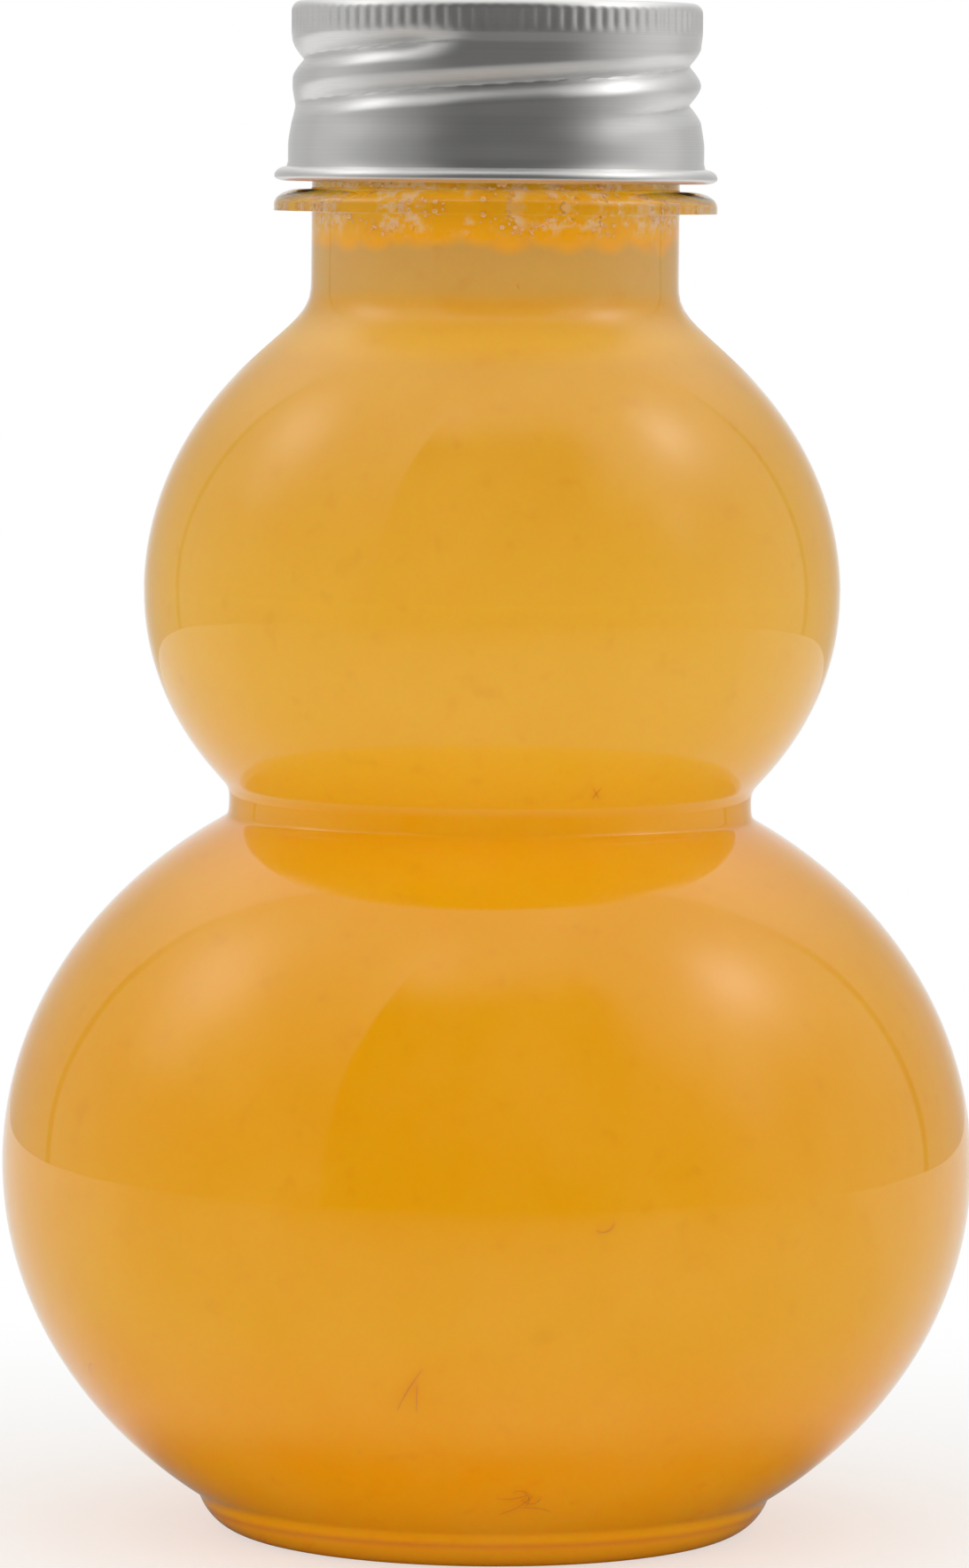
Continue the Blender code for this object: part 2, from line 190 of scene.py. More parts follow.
# Colours of the drink on screen at heights in millimetres: cloudier above, clear orange under the froth. Near
# the foot they are brightened as painted light against the shade under the lower bulb, and the dark stop at
# 2.4 mm is a painted shadow line along the crease.
DRINK_COLOURS_WITH_PAINTED_LIGHT = (
    (0, (255, 180, 38)),
    (2.0, (255, 178, 32)),
    # painted shadow line along the crease
    (2.4, (220, 144, 54)),
    (2.9, (255, 178, 26)),
    (8, (252, 172, 16)),
    (12, (242, 167, 12)),
    (25, (235, 173, 14)),
    (44, (233, 166, 12)),
    (60, (232, 166, 12)),
    (70.5, (242, 173, 12)),
    (72, (244, 190, 42)),
    (83, (238, 184, 56)),
    (104, (226, 168, 46)),
    (112, (229, 170, 48)),
    (114, (243, 184, 58)),
    (117.4, (230, 168, 52)),
    (119, (218, 170, 84)),
    (122.4, (216, 169, 88)),
    (123.8, (252, 176, 24)),
)

# Colours of a bubble on screen, from its middle to its rim: the pale ring is a painted reflection on the
# bubble's skin, and the darker last stop a painted shade at its outline
BUBBLE_COLOURS_WITH_PAINTED_RIM = (
    (0.0, (236, 168, 62)),
    (0.4, (238, 176, 88)),
    (0.62, (240, 196, 142)),
    (0.8, (234, 182, 116)),
    (1.0, (214, 146, 66)),
)

# Sizes that follow
LIP = BOTTLE_HIGH.z
RING_TOP = LIP - FINISH_HEIGHT
RING_BOTTOM = RING_TOP - RING_THICKNESS
BULB_DROP = LOWER_BULB_HALF_HEIGHT * math.sqrt(1 - (CREASE_RADIUS / LOWER_BULB_RADIUS) ** 2)
LOWER_BULB_CENTRE = CREASE_HEIGHT + BULB_DROP
UPPER_BULB_CENTRE = LOWER_BULB_CENTRE + LOWER_BULB_HALF_HEIGHT - BULB_OVERLAP + UPPER_BULB_BOTTOM_HALF
HEEL_WIDTH = (CREASE_RADIUS - STANDING_RADIUS) / math.cos(CREASE_ANGLE)
HEEL_HEIGHT = CREASE_HEIGHT / (1 + math.sin(CREASE_ANGLE))
CAP_OPEN_END = CAP_LOW.z
CAP_EDGE = CAP_OPEN_END + CAP_BEAD_LIFT
CAP_TOP = CAP_HIGH.z
CAP_THREAD_START = CAP_OPEN_END + CAP_THREAD_RISE
NECK_THREAD_START = CAP_THREAD_START + THREAD_LEAD / THREAD_STARTS / 2
NECK_THREAD_SWEEP = math.tau * (LIP - THREAD_BELOW_LIP - NECK_THREAD_START) / THREAD_LEAD
CAP_SKIRT_TOP = CAP_THREAD_START + CAP_SKIRT_RISE
CAP_CORNER_START = CAP_TOP_RADIUS - CAP_CORNER_RADIUS

# Fineness of the meshes
BODY_COLUMNS = 136
NECK_STEP = 0.0002
BODY_STEP = 0.0009
WAIST_STEP = 0.0002
CAP_COLUMNS = KNURL_COUNT * 6
CAP_STEP = 0.00017
CAP_PLAIN_STEP = 0.0005
CAP_FLAT_STEP = 0.0015
CAP_POLE_SHARE = 40  # the ring next to the axis is this many times smaller than the flat top
CAP_TAPER_STEPS = 24
CAP_CORNER_STEPS = 10
CAP_INNER_CORNER_STEPS = 6
CAP_BEAD_START = 84
CAP_BEAD_STEPS = 18
BORE_STEP = 0.0006
DRINK_TOP_STEP = 0.001
LIP_STEPS = 5
RING_ROOT_STEPS = 6
RING_EDGE_STEPS = 14


def smooth(share):
    share = np.clip(share, 0.0, 1.0)
    return share * share * (3 - 2 * share)


def arc(centre_radius, centre_height, radius, first, last, steps):
    """Points of an arc in the profile plane, ends included, from the angle first to last in degrees."""
    angles = np.radians(np.linspace(first, last, steps + 1))
    return [(centre_radius + radius * math.cos(a), centre_height + radius * math.sin(a)) for a in angles]


def line(start, end, step):
    """Points from start to end, at most a step apart, without the last one."""
    length = math.hypot(end[0] - start[0], end[1] - start[1])
    count = max(1, math.ceil(length / step))
    return [
        (start[0] + (end[0] - start[0]) * k / count, start[1] + (end[1] - start[1]) * k / count)
        for k in range(count)
    ]


def turned(name, profile, columns, relief=None):
    """A closed surface turned round Z. The profile runs from pole to pole, down the outer side."""
    rows = np.array(profile[1:-1])
    angles = np.arange(columns) * math.tau / columns
    radius = np.repeat(rows[:, :1], columns, axis=1)
    height = np.repeat(rows[:, 1:], columns, axis=1)
    turn = np.repeat(angles[None, :], len(rows), axis=0)
    if relief:
        radius = radius + relief(turn, radius, height)
    points = np.stack([radius * np.cos(turn), radius * np.sin(turn), height], axis=-1).reshape(-1, 3)
    first_pole = len(points)
    points = np.vstack([points, [(0.0, 0.0, profile[0][1]), (0.0, 0.0, profile[-1][1])]])
    faces = []
    for row in range(len(rows) - 1):
        start = row * columns
        for column in range(columns):
            after = (column + 1) % columns
            faces.append((start + column, start + columns + column, start + columns + after, start + after))
    last_row = (len(rows) - 1) * columns
    for column in range(columns):
        after = (column + 1) % columns
        faces.append((first_pole, column, after))
        faces.append((last_row + column, first_pole + 1, last_row + after))
    return mesh_object(name, points.tolist(), faces)


def scene_object(name, data):
    made = bpy.data.objects.new(name, data)
    bpy.context.scene.collection.objects.link(made)
    return made


def mesh_object(name, points, faces, sharp_angle=math.radians(40)):
    mesh = bpy.data.meshes.new(name)
    mesh.from_pydata(points, [], faces)
    mesh.shade_smooth()
    mesh.set_sharp_from_angle(angle=sharp_angle)
    return scene_object(name, mesh)


def ellipse_radius(height, centre, radius, half_height):
    share = (height - centre) / half_height
    return radius * math.sqrt(max(1 - share * share, 0.0))


def melted(power, *radii):
    """The largest radius, rounded where two of them cross."""
    return sum(radius**power for radius in radii) ** (1 / power)


def body_radius(height):
    """Outer radius of the bottle between its foot and its support ring."""
    if height > UPPER_BULB_CENTRE:
        bulb = ellipse_radius(height, UPPER_BULB_CENTRE, UPPER_BULB_RADIUS, UPPER_BULB_TOP_HALF)
        return melted(SHOULDER_ROUNDING_POWER, bulb, NECK_RADIUS)
    bulb = ellipse_radius(height, UPPER_BULB_CENTRE, UPPER_BULB_RADIUS, UPPER_BULB_BOTTOM_HALF)
    lower = ellipse_radius(height, LOWER_BULB_CENTRE, LOWER_BULB_RADIUS, LOWER_BULB_HALF_HEIGHT)
    waist = WAIST_RADIUS + WAIST_FLARE * min(((height - WAIST_HEIGHT) / WAIST_HALF_WIDTH) ** 2, 1.0)
    return melted(WAIST_ROUNDING_POWER, bulb, lower, waist)


def body_slope(height, span=0.00002):
    return (body_radius(height + span) - body_radius(height - span)) / (span + span)


def body_heights(top, bottom):
    """Heights down the body, a step apart along the outline, with the widest places of both bulbs."""
    heights = [top]
    while heights[-1] > bottom:
        near_waist = abs(heights[-1] - WAIST_HEIGHT) < 2 * WAIST_HALF_WIDTH
        step = WAIST_STEP if near_waist else BODY_STEP
        heights.append(heights[-1] - step / math.hypot(1.0, body_slope(heights[-1])))
    heights[-1] = bottom
    for widest in (UPPER_BULB_CENTRE, LOWER_BULB_CENTRE):
        nearest = min(range(len(heights)), key=lambda k: abs(heights[k] - widest))
        heights[nearest] = widest
    return heights


def wall_at(height):
    """The wall's thickness: the neck's down to the end of the collar, then thinning to the body's."""
    collar_bottom = RING_BOTTOM - COLLAR_HEIGHT
    neck_share = float(smooth((height - collar_bottom + THINNING_HEIGHT) / THINNING_HEIGHT))
    return BODY_WALL + (NECK_WALL - BODY_WALL) * neck_share


def base_hollow(depth=0.0, gate=0.0, steps=60):
    """The push-up under the base, from the standing ring to the axis, and the gate mark that hangs in it."""
    points = []
    for k in range(steps + 1):
        share = 1 - k / steps
        radius = HOLLOW_RADIUS * share
        mark = gate * float(1 - smooth((radius - GATE_RADIUS) / GATE_RADIUS))
        points.append((radius, BASE_HOLLOW_DEPTH * (1 - share * share) + depth - mark))
    return points


def heel(depth=0.0, steps=14):
    """The heel from the crease down to the standing ring, set in by a depth."""
    points = []
    for k in range(steps + 1):
        angle = CREASE_ANGLE + (-math.pi / 2 - CREASE_ANGLE) * k / steps
        across, up = math.cos(angle), math.sin(angle)
        out = Vector((across / HEEL_WIDTH, up / HEEL_HEIGHT)).normalized()
        radius = STANDING_RADIUS + HEEL_WIDTH * across
        points.append((radius - depth * out.x, HEEL_HEIGHT * (1 + up) - depth * out.y))
    return points


def body_outside():
    points = [(body_radius(h), h) for h in body_heights(RING_BOTTOM - RING_ROOT_RADIUS, CREASE_HEIGHT)]
    return points + heel()[1:] + base_hollow(gate=GATE_HEIGHT)


def body_inside(set_in):
    """The inside from the bore down to the middle of the base. set_in is added to the wall."""
    points = []
    for h in body_heights(RING_BOTTOM - RING_ROOT_RADIUS, CREASE_HEIGHT):
        depth = wall_at(h) + set_in
        slope = body_slope(h)
        length = math.hypot(1.0, slope)
        points.append((body_radius(h) - depth / length, h + depth * slope / length))
    depth = BODY_WALL + set_in
    return points + heel(depth) + base_hollow(depth)


def neck_outside():
    """The lip, the neck that takes the thread, and the support ring down to the root under it."""
    bore = NECK_RADIUS - NECK_WALL
    root = NECK_RADIUS + RING_ROOT_RADIUS
    ring_radius = NECK_RADIUS + RING_PROUD
    edge = ring_radius - RING_EDGE_WIDTH
    edge_bottom = RING_TOP - RING_EDGE_HEIGHT
    lip_edge = LIP - LIP_EDGE_RADIUS
    points = arc(bore + LIP_EDGE_RADIUS, lip_edge, LIP_EDGE_RADIUS, 180, 90, LIP_STEPS)
    points += arc(NECK_RADIUS - LIP_EDGE_RADIUS, lip_edge, LIP_EDGE_RADIUS, 90, 0, LIP_STEPS)
    points += line(points[-1], (NECK_RADIUS, RING_TOP + RING_ROOT_RADIUS), NECK_STEP)[1:]
    points += arc(root, RING_TOP + RING_ROOT_RADIUS, RING_ROOT_RADIUS, 180, 270, RING_ROOT_STEPS)
    points += line((root, RING_TOP), (edge, RING_TOP), BODY_STEP)[1:]
    quarter = arc(0.0, 0.0, 1.0, 90, 0, RING_EDGE_STEPS)
    points += [(edge + RING_EDGE_WIDTH * x, RING_TOP - RING_EDGE_HEIGHT * (1 - z)) for x, z in quarter]
    points += line((ring_radius, edge_bottom), (ring_radius, RING_BOTTOM), BODY_STEP)[1:]
    points += line((ring_radius, RING_BOTTOM), (root, RING_BOTTOM), BODY_STEP)
    points += arc(root, RING_BOTTOM - RING_ROOT_RADIUS, RING_ROOT_RADIUS, 90, 180, RING_ROOT_STEPS)[:-1]
    return points


def along_thread(turn, height, first_height, sweep, fade, delays=(0.0, 0.0), lifts=(0.0, 0.0)):
    """For each start of the thread: each point's height over its line, and how strong the thread is there."""
    found = []
    for start, (delay, lift) in enumerate(zip(delays, lifts)):
        begin = THREAD_ANGLE + math.tau * start / THREAD_STARTS
        travelled = np.mod(turn - begin, math.tau)
        off = height - (first_height + lift + THREAD_LEAD * travelled / math.tau)
        strength = smooth((travelled - delay) / fade) * smooth((sweep - travelled) / THREAD_FADE)
        found.append((off, strength))
    return found


def neck_thread(turn, radius, height):
    """The neck's thread: a rounded ridge on its outside."""
    proud = np.zeros_like(height)
    for off, strength in along_thread(turn, height, NECK_THREAD_START, NECK_THREAD_SWEEP, THREAD_FADE):
        share = np.clip(np.abs(off) / NECK_RIDGE_HALF_WIDTH, 0.0, 1.0)
        ridge = NECK_RIDGE_PROUD * np.cos(share * math.pi / 2) ** NECK_RIDGE_SHAPE * strength
        proud = np.maximum(proud, ridge)
    return proud * (radius > NECK_RADIUS - LIP_EDGE_RADIUS) * (height > RING_TOP + RING_ROOT_RADIUS)


def cap_relief(turn, radius, height):
    """How the cap's wall is pressed in: two thread grooves, and flutes round its top edge."""
    moved = np.zeros_like(height)
    route = (CAP_THREAD_START, CAP_THREAD_SWEEP, CAP_GROOVE_FADE, CAP_GROOVE_DELAYS, CAP_GROOVE_LIFTS)
    grooves = along_thread(turn, height, *route)
    for off, strength in grooves:
        share = np.clip(np.sqrt(off * off + CAP_GROOVE_ROUNDING**2) / CAP_GROOVE_HALF_WIDTH, 0.0, 1.0)
        moved -= CAP_GROOVE_DEPTH * (1 - share) ** CAP_GROOVE_SHAPE * strength
    flute = (0.5 + 0.5 * np.cos(turn * KNURL_COUNT)) ** KNURL_SHAPE
    low = smooth((height - (CAP_TOP - KNURL_HEIGHT)) / KNURL_RUNOUT)
    high = smooth((CAP_TOP - KNURL_TOP - height) / KNURL_RUNOUT)
    moved -= KNURL_DEPTH * flute * low * high
    on_wall = smooth((radius - CAP_CORNER_START) / (CAP_CORNER_RADIUS - CAP_WALL))
    above_bead = smooth((height - CAP_EDGE - CAP_BEAD_LOW_HALF - CAP_BEAD_HIGH_HALF) / CAP_BEAD_HIGH_HALF)
    return moved * on_wall * above_bead


def cap_outside():
    """The cap's outside from the middle of its top down to its open end."""
    corner = CAP_CORNER_START
    band_bottom = CAP_TOP - KNURL_HEIGHT
    taper_end = (CAP_THREAD_RADIUS, band_bottom - CAP_BAND_TAPER)
    bead_height = CAP_EDGE + CAP_BEAD_LOW_HALF
    points = [(0.0, CAP_TOP)] + line((corner / CAP_POLE_SHARE, CAP_TOP), (corner, CAP_TOP), CAP_FLAT_STEP)
    points += arc(corner, CAP_TOP - CAP_CORNER_RADIUS, CAP_CORNER_RADIUS, 90, 0, CAP_CORNER_STEPS)
    points += line(points[-1], (CAP_TOP_RADIUS, band_bottom), CAP_PLAIN_STEP)[1:]
    points += line((CAP_TOP_RADIUS, band_bottom), taper_end, CAP_STEP)
    points += line(taper_end, (CAP_THREAD_RADIUS, CAP_SKIRT_TOP), CAP_STEP)
    for k in range(CAP_TAPER_STEPS + 1):
        share = k / CAP_TAPER_STEPS
        out = (CAP_SKIRT_RADIUS - CAP_THREAD_RADIUS) * float(smooth(share))
        points.append((CAP_THREAD_RADIUS + out, CAP_SKIRT_TOP - CAP_SKIRT_TAPER * share))
    points += line(points[-1], (CAP_SKIRT_RADIUS, bead_height + CAP_BEAD_HIGH_HALF), CAP_PLAIN_STEP)[1:]
    for x, z in arc(0.0, 0.0, 1.0, CAP_BEAD_START, -90, CAP_BEAD_STEPS):
        width = CAP_HIGH.x - CAP_SKIRT_RADIUS if z > 0 else CAP_BEAD_UNDER
        half = CAP_BEAD_HIGH_HALF if z > 0 else CAP_BEAD_LOW_HALF
        points.append((CAP_HIGH.x - width * (1 - x), bead_height + half * z))
    return points


def cap_inside():
    """The cap's inner wall from its open end up to the middle of its top."""
    inner = CAP_SKIRT_RADIUS - CAP_WALL
    threaded = CAP_THREAD_RADIUS - CAP_WALL
    corner = CAP_CORNER_START
    corner_bottom = CAP_TOP - CAP_CORNER_RADIUS
    top = CAP_TOP - CAP_WALL
    points = [(inner, CAP_EDGE + CAP_WALL / 2)]
    points += line(points[-1], (inner, CAP_SKIRT_TOP - CAP_SKIRT_TAPER), CAP_PLAIN_STEP)[1:]
    points += line((inner, CAP_SKIRT_TOP - CAP_SKIRT_TAPER), (threaded, CAP_SKIRT_TOP), CAP_PLAIN_STEP)
    points += line((threaded, CAP_SKIRT_TOP), (threaded, corner_bottom), CAP_PLAIN_STEP)
    points += arc(corner, corner_bottom, CAP_CORNER_RADIUS - CAP_WALL, 0, 90, CAP_INNER_CORNER_STEPS)[1:]
    points += line((corner, top), (corner / CAP_POLE_SHARE, top), CAP_FLAT_STEP)[1:]
    return points + [(0.0, top)]


def add_node(tree, kind, values=None, **settings):
    """A shader node. values maps its sockets, by name or number, to a value or to another node's output."""
    made = tree.nodes.new(kind)
    for key, value in settings.items():
        setattr(made, key, value)
    for socket, value in (values or {}).items():
        if isinstance(value, bpy.types.NodeSocket):
            tree.links.new(value, made.inputs[socket])
        else:
            made.inputs[socket].default_value = value
    return made


def maths(tree, operation, first, second=0.0):
    return add_node(tree, "ShaderNodeMath", {0: first, 1: second}, operation=operation).outputs[0]


def product(tree, first, second):
    return maths(tree, "MULTIPLY", first, second)


def remap(tree, value, low, high, to_low=0.0, to_high=1.0):
    """A smooth step of the value from low to high."""
    inputs = {"Value": value, "From Min": low, "From Max": high, "To Min": to_low, "To Max": to_high}
    return add_node(tree, "ShaderNodeMapRange", inputs, interpolation_type="SMOOTHSTEP").outputs["Result"]


def blend_values(tree, share, first, second):
    return add_node(tree, "ShaderNodeMix", {0: share, 2: first, 3: second}).outputs[0]


def own_place(tree):
    """The place on the piece, in metres. Every piece's origin is the frame's."""
    return add_node(tree, "ShaderNodeTexCoord").outputs["Object"]


def split(tree, place):
    return add_node(tree, "ShaderNodeSeparateXYZ", {0: place}).outputs


def off_axis(tree, parts):
    """The distance from the bottle's axis."""
    flat = add_node(tree, "ShaderNodeCombineXYZ", {"X": parts["X"], "Y": parts["Y"]}).outputs[0]
    return add_node(tree, "ShaderNodeVectorMath", {0: flat}, operation="LENGTH").outputs["Value"]


def new_material(name):
    made = bpy.data.materials.new(name)
    made.use_nodes = True
    made.node_tree.nodes.clear()
    output = add_node(made.node_tree, "ShaderNodeOutputMaterial")
    return made, made.node_tree, output


def principled(tree, output, values):
    """Ends a material in one principled shader."""
    shader = add_node(tree, "ShaderNodeBsdfPrincipled", values)
    tree.links.new(shader.outputs[0], output.inputs["Surface"])


def ramp(tree, value, stops):
    made = add_node(tree, "ShaderNodeValToRGB", {"Fac": value})
    elements = made.color_ramp.elements
    while len(elements) < len(stops):
        elements.new(1.0)
    for element, (place, colour) in zip(elements, stops):
        element.position = place
        element.color = (*colour, 1.0)
    return made.outputs["Color"]


def srgb(*screen):
    """A colour given as 0 to 255 on screen, in the linear values that shaders take."""
    return tuple(((c / 255 + 0.055) / 1.055) ** 2.4 if c > 10 else c / 255 / 12.92 for c in screen)


def noise(tree, place, scale, detail=2.0, roughness=0.5):
    values = {"Vector": place, "Scale": scale, "Detail": detail, "Roughness": roughness}
    return add_node(tree, "ShaderNodeTexNoise", values).outputs["Fac"]


def cells(tree, place, scale):
    return add_node(tree, "ShaderNodeTexVoronoi", {"Vector": place, "Scale": scale}).outputs["Distance"]


def tinted(tree, share, first, second):
    """A mix of two colours, each a socket or a colour on screen."""
    inputs = {0: share}
    for slot, colour in ((6, first), (7, second)):
        inputs[slot] = colour if isinstance(colour, bpy.types.NodeSocket) else (*srgb(*colour), 1.0)
    return add_node(tree, "ShaderNodeMix", inputs, data_type="RGBA").outputs[2]


def clear_plastic():
    """Clear, slightly wavy plastic. Long paths of light beside the drink end on a flat amber diffuse: a
    painted refraction of the drink in place of what those rays would show.
    """
    made, tree, output = new_material("clear_plastic")
    place = own_place(tree)
    waves = noise(tree, place, 45.0)
    bump = add_node(tree, "ShaderNodeBump", {"Height": waves, "Strength": 0.25, "Distance": 0.0006})
    height = split(tree, place)["Z"]
    off_shoulder = maths(tree, "ABSOLUTE", maths(tree, "SUBTRACT", height, SHOULDER_HEIGHT))
    near = remap(tree, off_shoulder, 0.0, SHOULDER_HAZE, 1.0, 0.0)
    haze = remap(tree, product(tree, near, near), 0.0, 1.0, 0.02, 0.26)
    glass = add_node(
        tree, "ShaderNodeBsdfPrincipled",
        {"Base Color": (0.985, 0.99, 0.995, 1.0), "Roughness": haze, "IOR": 1.5, "Transmission Weight": 1.0,
         "Normal": bump.outputs["Normal"]},
    )
    open_way = add_node(tree, "ShaderNodeBsdfTransparent")
    # painted refraction: an amber diffuse standing in for the drink seen along long paths in the plastic
    painted_drink_refraction = add_node(tree, "ShaderNodeBsdfDiffuse", {"Color": (*srgb(226, 152, 62), 1.0)})
    rays = add_node(tree, "ShaderNodeLightPath").outputs
    beside_drink = maths(tree, "LESS_THAN", height, DRINK_HIGH.z)
    painted_refraction_share = product(tree, maths(tree, "GREATER_THAN", rays["Ray Depth"], 2.5), beside_drink)
    unlit = maths(tree, "MAXIMUM", rays["Is Shadow Ray"], rays["Is Diffuse Ray"])
    lit = add_node(tree, "ShaderNodeMixShader", {0: painted_refraction_share, 1: glass.outputs[0], 2: painted_drink_refraction.outputs[0]})
    mix = add_node(tree, "ShaderNodeMixShader", {0: unlit, 1: lit.outputs[0], 2: open_way.outputs[0]})
    tree.links.new(mix.outputs[0], output.inputs["Surface"])
    return made


def amber_drink():
    """The drink, coloured by height, with clouds, sediment, and fine foam at its upper edge. Its height
    colours hold painted light at the foot and a painted shadow at the crease.
    """
    made, tree, output = new_material("amber_drink")
    place = own_place(tree)
    height = split(tree, place)["Z"]
    scallops = maths(tree, "SUBTRACT", SCALLOP_SIZE, cells(tree, place, 300.0))
    in_froth = remap(tree, height, *(FROTH_BOTTOM - below for below in SCALLOPS_BELOW_FROTH))
    drop = product(tree, product(tree, scallops, in_froth), SCALLOP_DEPTH)
    share = maths(tree, "DIVIDE", maths(tree, "ADD", height, drop), DRINK_HIGH.z)
    # the height ramp: painted light brightening the foot, and a painted shadow line at the crease
    colour = ramp(tree, share, [(at / 1000 / DRINK_HIGH.z, srgb(*tint)) for at, tint in DRINK_COLOURS_WITH_PAINTED_LIGHT])
    clouds = remap(tree, noise(tree, place, 60.0, 4.0, 0.6), 0.35, 0.7, 0.0, 0.10)
    colour = tinted(tree, clouds, colour, (252, 206, 96))
    sediment = remap(tree, noise(tree, place, 420.0, 3.0), 0.58, 0.75, 0.0, 0.12)
    colour = tinted(tree, sediment, colour, (206, 120, 20))
    foam = product(tree, remap(tree, height, FROTH_BOTTOM, FROTH_BOTTOM + FOAM_RISE), 0.75)
    patches = remap(tree, noise(tree, place, 330.0, 3.0), 0.40, 0.58)
    clumps = product(tree, remap(tree, noise(tree, place, 1100.0, 3.0, 0.6), 0.42, 0.60), patches)
    colour = tinted(tree, product(tree, clumps, foam), colour, (240, 206, 168))
    flecks = product(tree, remap(tree, noise(tree, place, 1300.0), 0.62, 0.72, 0.0, 0.7), patches)
    colour = tinted(tree, product(tree, flecks, foam), colour, (176, 110, 44))
    principled(tree, output, {
        "Base Color": colour, "Roughness": 0.6, "Specular IOR Level": 0.0, "Subsurface Weight": 1.0,
        "Subsurface Scale": 0.004, "Subsurface Radius": (1.0, 0.5, 0.15),
    })
    return made


def froth_bubble():
    """Bubble skin: a pale painted reflection in a ring round an amber middle, and a painted shade at its
    outline. The attribute for this painted rim light is set on the mesh.
    """
    made, tree, output = new_material("froth_bubble")
    painted_rim_light = add_node(tree, "ShaderNodeAttribute", attribute_name="painted_rim_light").outputs["Fac"]
    patchy = maths(tree, "SUBTRACT", noise(tree, own_place(tree), 2500.0), 0.5)
    uneven = maths(tree, "ADD", painted_rim_light, product(tree, patchy, 0.3))
    colour = ramp(tree, uneven, [(at, srgb(*tint)) for at, tint in BUBBLE_COLOURS_WITH_PAINTED_RIM])
    values = {"Base Color": colour, "Roughness": 0.5, "IOR": 1.33, "Specular IOR Level": 0.15}
    principled(tree, output, values)
    return made


def fruit_fibre():
    made, tree, output = new_material("fruit_fibre")
    mottled = remap(tree, noise(tree, own_place(tree), 900.0), 0.35, 0.65)
    colour = tinted(tree, mottled, (208, 134, 32), (222, 146, 40))
    principled(tree, output, {"Base Color": colour, "Roughness": 0.7})
    return made


def satin_aluminium():
    """Rolled and spun sheet: fine lines round the cap, and a slightly uneven satin."""
    made, tree, output = new_material("satin_aluminium")
    place = own_place(tree)
    parts = split(tree, place)
    along = add_node(tree, "ShaderNodeCombineXYZ", {"X": off_axis(tree, parts), "Z": parts["Z"]}).outputs[0]
    lines = noise(tree, along, 9000.0, 3.0)
    grain = noise(tree, place, 5200.0)
    broad = noise(tree, place, 160.0, 3.0)
    height = maths(tree, "ADD", product(tree, lines, 0.4), product(tree, grain, 0.6))
    fine = add_node(tree, "ShaderNodeBump", {"Height": height, "Strength": 0.03, "Distance": 0.00003})
    dented = {"Height": broad, "Strength": 0.15, "Distance": 0.0002, "Normal": fine.outputs["Normal"]}
    dents = add_node(tree, "ShaderNodeBump", dented)
    colour = tinted(tree, remap(tree, lines, 0.3, 0.7), (237, 236, 234), (231, 230, 228))
    rough = maths(tree, "ADD", remap(tree, broad, 0.3, 0.7, 0.33, 0.36), product(tree, lines, 0.03))
    around = add_node(tree, "ShaderNodeTangent", direction_type="RADIAL", axis="Z").outputs[0]
    principled(tree, output, {
        "Base Color": colour, "Metallic": 0.93, "Roughness": rough, "Normal": dents.outputs["Normal"],
        "Anisotropic": 0.55, "Anisotropic Rotation": 0.25, "Tangent": around,
    })
    return made


def foam_wad():
    """The liner: fine-celled white foam with a smooth skin, pressed by the bottle's lip."""
    made, tree, output = new_material("foam_wad")
    place = own_place(tree)
    lip_middle = NECK_RADIUS - NECK_WALL / 2
    off_lip = maths(tree, "ABSOLUTE", maths(tree, "SUBTRACT", off_axis(tree, split(tree, place)), lip_middle))
    pressed = remap(tree, off_lip, NECK_WALL * 0.3, NECK_WALL * 0.7, 1.0, 0.0)
    pores = cells(tree, place, 3200.0)
    height = maths(tree, "SUBTRACT", product(tree, pores, 0.25), pressed)
    bump = add_node(tree, "ShaderNodeBump", {"Height": height, "Strength": 0.6, "Distance": 0.00012})
    colour = tinted(tree, remap(tree, pores, 0.1, 0.5), (222, 221, 214), (240, 239, 234))
    colour = tinted(tree, product(tree, pressed, 0.35), colour, (206, 196, 176))
    principled(tree, output, {
        "Base Color": colour, "Roughness": 0.55, "Subsurface Weight": 0.2, "Subsurface Scale": 0.001,
        "Normal": bump.outputs["Normal"],
    })
    return made


def give(piece, body, slot, material, *nodes):
    """Gives a piece its material and its body, and hides the CAD nodes that it replaces. The slot is not
    used.
    """
    piece.data.materials.append(material)
    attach(piece, body)
    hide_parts(*nodes)


def bubble_shape():
    """Points and faces of one round bubble of radius 1."""
    work = bmesh.new()
    bmesh.ops.create_icosphere(work, subdivisions=2, radius=1.0)
    points = np.array([v.co[:] for v in work.verts])
    faces = [[v.index for v in f.verts] for f in work.faces]
    work.free()
    return points, faces


